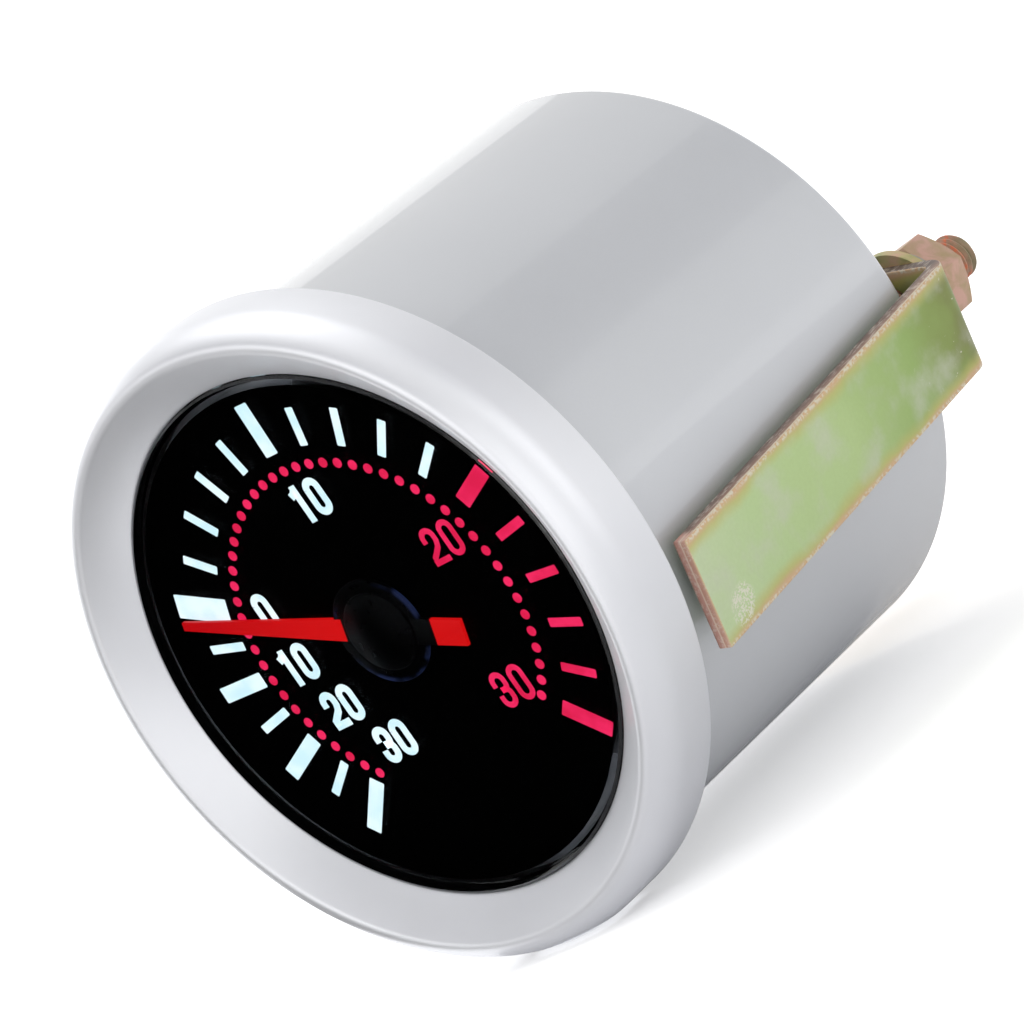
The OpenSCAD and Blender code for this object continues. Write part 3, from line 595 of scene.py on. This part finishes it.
lit_pointer = Finish("pointer_red", {"Emission Strength": 1.45, "Roughness": 0.5,
                                     "Specular IOR Level": 0.2})
across, upward = lit_pointer.place.axes()[::2]
lean = math.radians(pointer_clock)
outward = (across * math.sin(lean) + upward * math.cos(lean)) * 1000.0
painted = (outward.step(black_to_tip - 0.05, black_to_tip + 0.05)
           + outward.step(0.05 - black_to_tail, -0.05 - black_to_tail))
glow = lit_pointer.place.noise(300.0, 3.0)
red = (0.6 * outward.step(5.0, 21.0) + 0.4 * glow).blend(srgb(222, 16, 16), srgb(188, 4, 14))
lit_pointer.vary(Emission_Color=painted.blend(srgb(0, 0, 0), red),
                 Base_Color=painted.blend(srgb(4, 4, 5), srgb(120, 4, 6)))
lit_pointer.put_on(blade)


# Hub cap. A low dome with a thin skirt, moulded in glossy black plastic and pressed on the
# staff. A faint blue glint of the dial's light round its skirt is painted in as a glow in patches.
cap_y, dome_r, dome_rim_y = -3.2, 3.4, -2.62
skirt_r, skirt_back_y = 4.5, -2.2
dome_deep = dome_rim_y - cap_y
dome_ball_r = (dome_deep ** 2 + dome_r ** 2) / (2 * dome_deep)
dome_half = math.degrees(math.asin(dome_r / dome_ball_r))
cap = turn("hub_cap", arc((0, cap_y + dome_ball_r), dome_ball_r, -90, -90 + dome_half, 14)
           + [(dome_r, pointer_front_y + 0.01), (skirt_r, pointer_front_y + 0.01),
              (skirt_r, skirt_back_y), (boss_r + 0.1, skirt_back_y),
              (boss_r + 0.1, pointer_front_y + 0.05), (0, pointer_front_y + 0.05)], steps=96)
ease(cap, 0.06, segments=3)
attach(cap, "pointer")
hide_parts("pointer_cap")

cap_gloss = Finish("cap_black", {"Specular IOR Level": 0.08, "Emission Strength": 0.5})
across, upward = cap_gloss.place.axes()[::2]
reach = (across * across + upward * upward) ** 0.5 * 1000.0
speck = cap_gloss.place.noise(1800.0, 4.0)
# Painted glint: a faint blue glow in patches on the rim of the skirt stands in for a reflection of the
# dial's light.
glint_patches = cap_gloss.place.noise(330.0, 3.0).step(0.47, 0.62)
painted_rim_glint = reach.step(4.0, 4.35) * glint_patches * (0.5 + 0.5 * speck)
cap_gloss.vary(Base_Color=speck.blend(srgb(2, 2, 3), srgb(8, 8, 10)),
               Roughness=0.22 + 0.15 * speck,
               Emission_Color=painted_rim_glint.blend(srgb(0, 0, 0), srgb(58, 72, 122)))
cap_gloss.put_on(cap)


# Case. A deep drawn steel cup with a rolled lip at its mouth, lacquered in glossy light grey.
# Its back is pierced for the two studs, the pressure port and the cable.
case_r, case_in_r, neck_r, lip_r = 26.0, 24.8, 25.65, 26.45
mouth_y, case_edge_r, case_len, case_inside_y = -1.7, 0.6, 39.6, 38.1
stud_places = [(21.174, -4.269), (-21.174, 4.269)]
stud_r, port_hole_r, grommet_r = 2.0, 4.9, 3.5
port_place, grommet_place = (-3.357, -13.076), (3.357, 13.076)


def cut(piece, tool, how="DIFFERENCE"):
    """Takes a tool's solid out of a piece, or keeps only what lies inside it."""
    pick(piece)
    bpy.ops.object.modifier_add(type="BOOLEAN")
    modifier = piece.modifiers[-1]
    modifier.operation, modifier.object, modifier.solver = how, tool, "EXACT"
    bpy.ops.object.modifier_apply(modifier=modifier.name)
    bpy.data.objects.remove(tool)


def drill(piece, place, radius, front, back):
    """Drills a round hole along Y."""
    bpy.ops.object.select_all(action="DESELECT")
    bpy.ops.mesh.primitive_cylinder_add(
        vertices=64, radius=radius * mm, depth=(back - front) * mm,
        location=(place[0] * mm, (front + back) / 2 * mm, place[1] * mm),
        rotation=(math.pi / 2, 0, 0))
    cut(piece, bpy.context.object)


case = turn("case", [(case_in_r, mouth_y), (lip_r, mouth_y), (lip_r, collar_y), (neck_r, collar_y),
                     (neck_r, 0), (case_r, 0)]
            + arc((case_r - case_edge_r, case_len - case_edge_r), case_edge_r, 0, 90, 10)
            + [(0, case_len), (0, case_inside_y), (case_in_r, case_inside_y)], steps=192)
for place, radius in ((stud_places[0], stud_r), (stud_places[1], stud_r),
                      (port_place, port_hole_r), (grommet_place, grommet_r)):
    drill(case, place, radius, case_inside_y - 1, case_len + 1)
ease(case, 0.0)
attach(case, "root")
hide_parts("case_shell")

lacquer = Finish("case_lacquer", {"Coat Weight": 1.0, "Coat Roughness": 0.03, "Metallic": 0.4,
                                  "Specular IOR Level": 0.4})
flake = lacquer.place.noise(5200.0, 2.0)
peel = lacquer.place.noise(520.0, 2.0)
cloud = lacquer.place.noise(55.0, 3.0)
lacquer.vary(Base_Color=(0.7 * cloud + 0.3 * flake).blend(srgb(190, 192, 196), srgb(201, 203, 207)),
             Roughness=0.3 + 0.08 * flake, Normal=peel.bump(0.004 * mm, 0.35))
lacquer.put_on(case)


# Clamp strap. A strip of steel sheared to width and bent into a bracket that straddles the case,
# yellow passivated over zinc. Its sheared edges and ends stay pinkish and rough.
strap_clock, strap_w, strap_t, foot_shift = 104.4, 9.2, 1.3, 2.8
leg_inner_x, foot_y, bend_x, bend_y, bend_in_r = 27.0, 2.2, 26.0, 41.55, 1.0
bridge_y, bolt_hole_r = 42.55, 2.25
strap_turn = math.radians(strap_clock - 90)


def leg_shift(y):
    """How far the middle of a leg is set to one side at a depth."""
    return -foot_shift * (bend_y - y) / (bend_y - foot_y)


inner_line = ([(leg_inner_x, y, leg_shift(y)) for y in (foot_y, 10, 18, 26, 34)]
              + [(x, y, 0) for x, y in arc((bend_x, bend_y), bend_in_r, 0, 90, 10)] + [(0, bridge_y, 0)])
other_line = [(-x, y, -z) for x, y, z in reversed(inner_line[:-1])]
strap = draw("strap", [(x, y, z - strap_w / 2) for x, y, z in inner_line + other_line])
bpy.ops.mesh.select_all(action="SELECT")
bpy.ops.mesh.extrude_edges_move(TRANSFORM_OT_translate={"value": (0, 0, strap_w * mm)})
bpy.ops.mesh.select_all(action="SELECT")
bpy.ops.mesh.normals_make_consistent(inside=False)
bpy.ops.object.mode_set(mode="OBJECT")
foot_face = max(strap.data.polygons, key=lambda face: face.center.x)
strap_out = 1.0 if foot_face.normal.x > 0 else -1.0
pick(strap)
bpy.ops.object.modifier_add(type="SOLIDIFY")
thicken = strap.modifiers[-1]
thicken.thickness, thicken.offset, thicken.use_even_offset = strap_t * mm, strap_out, True
bpy.ops.object.modifier_apply(modifier=thicken.name)
strap.rotation_euler.y = strap_turn
bpy.ops.object.transform_apply(location=True, rotation=True, scale=True)
for place in stud_places:
    drill(strap, place, bolt_hole_r, bridge_y - 1, bridge_y + strap_t + 1)
ease(strap, 0.14, segments=3, above=40.0)
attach(strap, "clamp")
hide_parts("clamp_strap")


def strap_axes(finish):
    """Across the strap's legs, along them and over their width, in mm in the strap's own frame."""
    own = finish.place.node("Mapping", {}, {"Vector": finish.place, "Rotation": (0, -strap_turn, 0)})
    return [axis * 1000.0 for axis in own.axes()]


passivate = Finish("zinc_yellow", {"Metallic": 0.35, "Specular IOR Level": 0.5})
out, along, wide = strap_axes(passivate)
wander = passivate.place.noise(130.0, 4.0) - 0.5
drift = passivate.place.noise(260.0, 5.0)
fine = passivate.place.noise(3200.0, 4.0)
side_sign = out.node("Math", {"operation": "SIGN"}, {0: out})
middle = side_sign * (foot_shift / (bend_y - foot_y)) * (along - bend_y)
off_middle = wide - middle
upper_edge = strap_w / 2 - off_middle * side_sign
lower_edge = strap_w / 2 + off_middle * side_sign
near_edge = upper_edge.node("Math", {"operation": "MINIMUM"}, {0: upper_edge, 1: lower_edge})
green = (along / 44.0 + 0.35 * wander).ramp(
    (0.0, srgb(190, 203, 168)), (0.22, srgb(178, 200, 146)), (0.5, srgb(174, 196, 136)),
    (0.78, srgb(146, 172, 100)), (0.93, srgb(130, 146, 78)), (1.0, srgb(116, 112, 70)))
grey = (drift.step(0.42, 0.74) * 0.62).blend(green, srgb(192, 196, 178))
yellow_rim = (near_edge + 2.6 * wander).step(1.7, 0.4)
gold = (yellow_rim * 0.85).blend(grey, srgb(186, 178, 106))
pink_rim = (near_edge + 1.7 * wander).step(0.85, 0.15)
blush = (pink_rim * 0.75).blend(gold, srgb(206, 160, 138))
grit = passivate.place.noise(5200.0, 5.0)
scuff_along, scuff_aside = 5.2, -2.6
scuff_far = ((along - scuff_along) ** 2.0 + (off_middle - scuff_aside) ** 2.0) ** 0.5
scuffed = (scuff_far + 2.2 * (drift - 0.5)).step(1.7, 1.0) * grit.step(0.47, 0.56)
burr = near_edge.step(0.5, 0.2) * (fine.step(0.42, 0.6)) * drift.step(0.3, 0.5)
nicks = passivate.place.noise(900.0, 6.0, 1.2).step(0.67, 0.7) * along.step(32.0, 40.0)
worn = scuffed.node("Math", {"operation": "MAXIMUM"}, {0: scuffed, 1: burr * 0.8})
pale = (worn.node("Math", {"operation": "MAXIMUM"}, {0: worn, 1: nicks * 0.7})).blend(
    blush, srgb(214, 212, 196))
passivate.vary(Base_Color=(0.16 * fine).blend(pale, srgb(120, 130, 90)),
               Roughness=0.36 + 0.14 * drift + 0.2 * worn,
               Normal=(0.6 * fine + 0.8 * worn).bump(0.012 * mm, 0.45))

sheared = Finish("zinc_sheared", {"Metallic": 0.4})
out, along = strap_axes(sheared)[:2]
through = (out.size() - leg_inner_x) / strap_t
scratch = sheared.place.node("Mapping", {}, {"Vector": sheared.place, "Scale": (1.0, 0.12, 1.0)})
drag = scratch.noise(5200.0, 4.0, 0.6)
spot = sheared.place.noise(1500.0, 4.0)
# Across the thickness of the sheared ends and sides: the edge's own pinkish brown tone, darker towards the
# inner face, with a pale line painted in as the highlight of the rounded edge.
end_tone_and_highlight = through.ramp((0.0, srgb(120, 100, 88)), (0.18, srgb(196, 146, 132)), (0.46, srgb(204, 156, 142)),
                    (0.53, srgb(226, 206, 186)), (0.62, srgb(196, 148, 130)), (0.88, srgb(206, 162, 142)),
                    (1.0, srgb(196, 184, 140)))
long_side = along.step(3.0, 3.8)
side_tone_and_highlight = through.ramp((0.0, srgb(96, 80, 72)), (0.55, srgb(138, 112, 100)), (0.8, srgb(150, 118, 100)),
                     (0.92, srgb(214, 204, 180)), (1.0, srgb(190, 180, 140)))
edge_tone_and_highlight = long_side.blend(end_tone_and_highlight, side_tone_and_highlight)
sheared.vary(Base_Color=(0.5 * drag.step(0.42, 0.66) * spot.step(0.35, 0.6)).blend(
    edge_tone_and_highlight, srgb(226, 216, 202)),
    Roughness=0.35 + 0.25 * drag, Normal=drag.bump(0.03 * mm, 0.6))
passivate.put_on(strap)
strap.data.materials.append(sheared.material)
strap_side = Vector((math.sin(strap_turn), 0, math.cos(strap_turn)))
for face in strap.data.polygons:
    at_foot = face.center.y < (foot_y + 0.3) * mm and face.normal.y < -0.6
    if abs(face.normal.dot(strap_side)) > 0.8 or at_foot:
        face.material_index = 1


# Studs. Two M4 bolts through the case back, their heads inside. The thread is rolled, right
# handed, and the zinc on it shows copper and red where it is thin.
stud_pitch, thread_depth, stud_end_y, stud_chamfer = 0.7, 0.38, 53.15, 0.45
stud_head_r, stud_head_y = 3.1, 36.9


def thread(name, crest, pitch, depth, front, back, place):
    """A rolled thread along Y: one pitch of its profile, screwed round, then cut to length."""
    profile = [(crest - depth, 0), (crest - depth, 0.167 * pitch), (crest, 0.521 * pitch),
               (crest, 0.646 * pitch), (crest - depth, pitch)]
    piece = draw(name, [(r, front - pitch + y, 0) for r, y in profile])
    bpy.ops.object.mode_set(mode="OBJECT")
    bpy.ops.object.modifier_add(type="SCREW")
    screw = piece.modifiers[-1]
    screw.axis, screw.angle, screw.screw_offset = "Y", 2 * math.pi, pitch * mm
    screw.iterations = math.ceil((back - front) / pitch) + 2
    screw.steps = screw.render_steps = 40
    screw.use_merge_vertices, screw.merge_threshold = True, 0.002 * mm
    bpy.ops.object.modifier_apply(modifier=screw.name)
    bpy.ops.object.mode_set(mode="EDIT")
    for y, side_to_clear in ((front, "clear_inner"), (back, "clear_outer")):
        bpy.ops.mesh.select_all(action="SELECT")
        bpy.ops.mesh.bisect(plane_co=(0, y * mm, 0), plane_no=(0, 1, 0), use_fill=True,
                            **{side_to_clear: True})
    bpy.ops.mesh.select_all(action="SELECT")
    bpy.ops.mesh.remove_doubles(threshold=0.002 * mm)
    bpy.ops.mesh.normals_make_consistent(inside=False)
    bpy.ops.object.mode_set(mode="OBJECT")
    piece.location = (place[0] * mm, 0, place[1] * mm)
    pick(piece)
    bpy.ops.object.transform_apply(location=True, rotation=True, scale=True)
    return piece


studs = []
for place in stud_places:
    rolled = thread("stud_thread", stud_r, stud_pitch, thread_depth, case_len, stud_end_y, place)
    blank = turn("stud_blank", [(0, case_len - 1), (stud_r + 0.02, case_len - 1),
                                (stud_r + 0.02, stud_end_y - stud_chamfer),
                                (stud_r - stud_chamfer, stud_end_y - 0.01), (0, stud_end_y - 0.01)],
                 steps=64, around=place)
    cut(rolled, blank, "INTERSECT")
    ease(rolled, 0.0)
    shank = turn("stud_shank", [(0, stud_head_y), (stud_head_r, stud_head_y),
                                (stud_head_r, case_inside_y), (stud_r, case_inside_y),
                                (stud_r, case_len + stud_pitch), (0, case_len + stud_pitch)],
                 steps=56, around=place)
    ease(shank, 0.1)
    studs += [rolled, shank]
studs = join("studs", studs)
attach(studs, "root")
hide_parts("clamp_studs")

copper = Finish("zinc_copper", {"Metallic": 0.7})
patches = copper.place.noise(520.0, 4.0, 0.8)
small = copper.place.noise(1700.0, 4.0)
turns = copper.place.noise(5200.0, 2.0)
tint = (0.72 * patches + 0.28 * small).ramp(
    (0.34, srgb(148, 140, 112)), (0.48, srgb(170, 148, 124)), (0.57, srgb(188, 152, 130)),
    (0.63, srgb(220, 130, 98)), (0.69, srgb(230, 150, 100)), (0.78, srgb(206, 160, 146)))
copper.vary(Base_Color=tint, Roughness=0.28 + 0.18 * small, Normal=turns.bump(0.006 * mm, 0.5))
copper.put_on(studs)


# Washers. On the strap under each nut a stamped flat washer, and on it a split spring washer
# coiled from square wire. Both are zinc plated; the flat ones are tinted yellow and pink.
washer_zinc = Finish("zinc_washer", {"Metallic": 0.55})
patches = washer_zinc.place.noise(700.0, 4.0)
fine = washer_zinc.place.noise(4200.0, 3.0)
washer_zinc.vary(Base_Color=patches.ramp((0.35, srgb(166, 166, 112)), (0.5, srgb(190, 176, 128)),
                                         (0.65, srgb(204, 168, 142))),
                 Roughness=0.34 + 0.16 * fine, Normal=fine.bump(0.008 * mm, 0.4))
washer_zinc.put_on(nodes["flat_washers"])
spring_zinc = Finish("zinc_spring", {"Metallic": 0.8})
fine = spring_zinc.place.noise(3600.0, 3.0)
spring_zinc.vary(Base_Color=fine.blend(srgb(150, 146, 138), srgb(182, 176, 164)),
                 Roughness=0.26 + 0.16 * fine, Normal=fine.bump(0.008 * mm, 0.4))
spring_zinc.put_on(nodes["spring_washers"])


# Nuts. M4 hexagon nuts with chamfered corners, cold formed and zinc plated, dull pink and tan.
# The port's nut is the same shape in brass, thin and wide.
nut_af, nut_front_y, nut_back_y, nut_bore_r = 7.0, 45.8, 49.0, 2.03
nut_clocks = [203.4, 52.4]
port_nut_af, port_nut_back_y, port_nut_bore_r = 14.0, 42.2, 4.55


def hex_nut(name, flats, front, back, bore_r, place, clock):
    """A piece of hexagon bar along Y, its corners turned down at both ends, and drilled."""
    corner_r = flats / 2 / math.cos(math.pi / 6)
    corner_cut = (corner_r - flats / 2) * 0.62
    bpy.ops.object.select_all(action="DESELECT")
    bpy.ops.mesh.primitive_cylinder_add(vertices=6, radius=corner_r * mm, depth=(back - front) * mm,
                                        rotation=(math.pi / 2, 0, 0))
    nut = bpy.context.object
    nut.name = name
    bpy.ops.object.transform_apply(location=True, rotation=True, scale=True)
    nut.location = Vector((place[0], (front + back) / 2, place[1])) * mm
    nut.rotation_euler.y = math.radians(clock)
    bpy.ops.object.transform_apply(location=True, rotation=True, scale=True)
    turned_to_size = turn("nut_blank", [
        (0, front), (flats / 2 * 0.96, front), (corner_r + 0.01, front + corner_cut),
        (corner_r + 0.01, back - corner_cut), (flats / 2 * 0.96, back), (0, back)],
        steps=72, around=place)
    cut(nut, turned_to_size, "INTERSECT")
    drill(nut, place, bore_r, front - 1, back + 1)
    ease(nut, 0.07, above=25.0)
    return nut


nut_zinc = Finish("zinc_pink", {"Metallic": 0.6})
patches = nut_zinc.place.noise(600.0, 4.0, 0.5)
fine = nut_zinc.place.noise(3800.0, 4.0)
nut_zinc.vary(Base_Color=patches.ramp((0.35, srgb(178, 156, 120)), (0.5, srgb(192, 160, 136)),
                                      (0.62, srgb(206, 166, 150))),
              Roughness=0.32 + 0.18 * fine, Normal=fine.bump(0.012 * mm, 0.45))
for name, place, clock in zip(("nut_right", "nut_left"), stud_places, nut_clocks):
    nut = hex_nut("m4_" + name, nut_af, nut_front_y, nut_back_y, nut_bore_r, place, clock)
    nut_zinc.put_on(nut)
    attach(nut, name)
    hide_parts(name)

brass = Finish("brass", {"Metallic": 0.9})
tarnish = brass.place.noise(260.0, 4.0)
drawn_out = brass.place.node("Mapping", {}, {"Vector": brass.place, "Scale": (1.0, 4.0, 1.0)})
lines = drawn_out.noise(2600.0, 3.0)
brass.vary(Base_Color=(0.7 * tarnish + 0.3 * lines).blend(srgb(168, 132, 66), srgb(222, 188, 112)),
           Roughness=0.24 + 0.2 * lines, Normal=lines.bump(0.006 * mm, 0.4))
port_nut = hex_nut("brass_nut", port_nut_af, case_len, port_nut_back_y, port_nut_bore_r, port_place,
                   90.0)
brass.put_on(port_nut)
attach(port_nut, "root")
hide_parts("port_nut")


# Movement and port. Stamped plates, turned posts, gears, the link and the pressure port are
# brass; arbors, screws and the hairspring bright steel; the tube and its tip phosphor bronze.
for name in ("pressure_port", "board_posts", "front_plate", "rear_plate", "plate_pillars",
             "hairspring_stud", "sector_gear", "drive_link"):
    brass.put_on(nodes[name])

steel = Finish("steel_bright", {"Metallic": 0.95})
lines = steel.place.noise(3000.0, 3.0)
steel.vary(Base_Color=lines.blend(srgb(168, 170, 174), srgb(206, 208, 212)),
           Roughness=0.2 + 0.15 * lines, Normal=lines.bump(0.004 * mm, 0.3))
for name in ("board_screws", "pinion_staff", "sector_arbor", "plate_screws", "movement_screws",
             "hairspring"):
    steel.put_on(nodes[name])

bronze = Finish("bronze", {"Metallic": 0.9})
tarnish = bronze.place.noise(220.0, 4.0)
lines = bronze.place.noise(3200.0, 2.0)
bronze.vary(Base_Color=(0.75 * tarnish + 0.25 * lines).blend(srgb(150, 96, 62), srgb(204, 142, 98)),
            Roughness=0.26 + 0.18 * lines, Normal=lines.bump(0.005 * mm, 0.3))
bronze.put_on(nodes["bourdon_tube"], nodes["tube_tip"])


# Seals. The lens gasket and the cable grommet are moulded black rubber with a dull bloom; the
# port's gasket is a punched ring of red vulcanised fibre.
rubber = Finish("rubber_black", {"Specular IOR Level": 0.35})
bloom = rubber.place.noise(180.0, 4.0)
pores = rubber.place.noise(4200.0, 3.0)
rubber.vary(Base_Color=(0.6 * bloom + 0.4 * pores).blend(srgb(20, 20, 21), srgb(46, 46, 47)),
            Roughness=0.6 + 0.2 * pores, Normal=pores.bump(0.012 * mm, 0.5))
rubber.put_on(nodes["lens_gasket"], nodes["cable_grommet"])

fibre = Finish("fibre_red", {"Specular IOR Level": 0.3})
strands = fibre.place.noise(1800.0, 5.0, 0.8)
fibre.vary(Base_Color=strands.blend(srgb(110, 48, 30), srgb(156, 78, 52)),
           Roughness=0.6 + 0.2 * strands, Normal=strands.bump(0.02 * mm, 0.5))
fibre.put_on(nodes["port_gasket"])


# Lighting. A green glass fibre board with white chip lamps shines through a clear acrylic
# guide, which is moulded with a skirt that keeps it off the lamps.
board_green = Finish("board_green", {"Coat Weight": 0.4, "Coat Roughness": 0.2})
weave = board_green.place.noise(1400.0, 3.0)
board_green.vary(Base_Color=weave.blend(srgb(20, 84, 44), srgb(34, 108, 58)),
                 Roughness=0.4 + 0.15 * weave, Normal=weave.bump(0.01 * mm, 0.3))
board_green.put_on(nodes["lamp_board"])

lamp_white = Finish("lamp_white", {"Emission Strength": 0.6})
cell = lamp_white.place.noise(2600.0, 2.0)
lamp_white.vary(Base_Color=cell.blend(srgb(226, 222, 190), srgb(244, 242, 228)),
                Emission_Color=cell.blend(srgb(210, 226, 240), srgb(236, 244, 250)),
                Roughness=0.4 + 0.1 * cell)
lamp_white.put_on(nodes["lamps"])

guide_clear = Finish("guide_clear", {"Transmission Weight": 0.85, "IOR": 1.49})
flow = guide_clear.place.noise(150.0, 3.0)
guide_clear.vary(Base_Color=flow.blend(srgb(226, 234, 238), srgb(240, 246, 248)),
                 Roughness=0.05 + 0.06 * flow)
guide_clear.put_on(nodes["light_guide"])
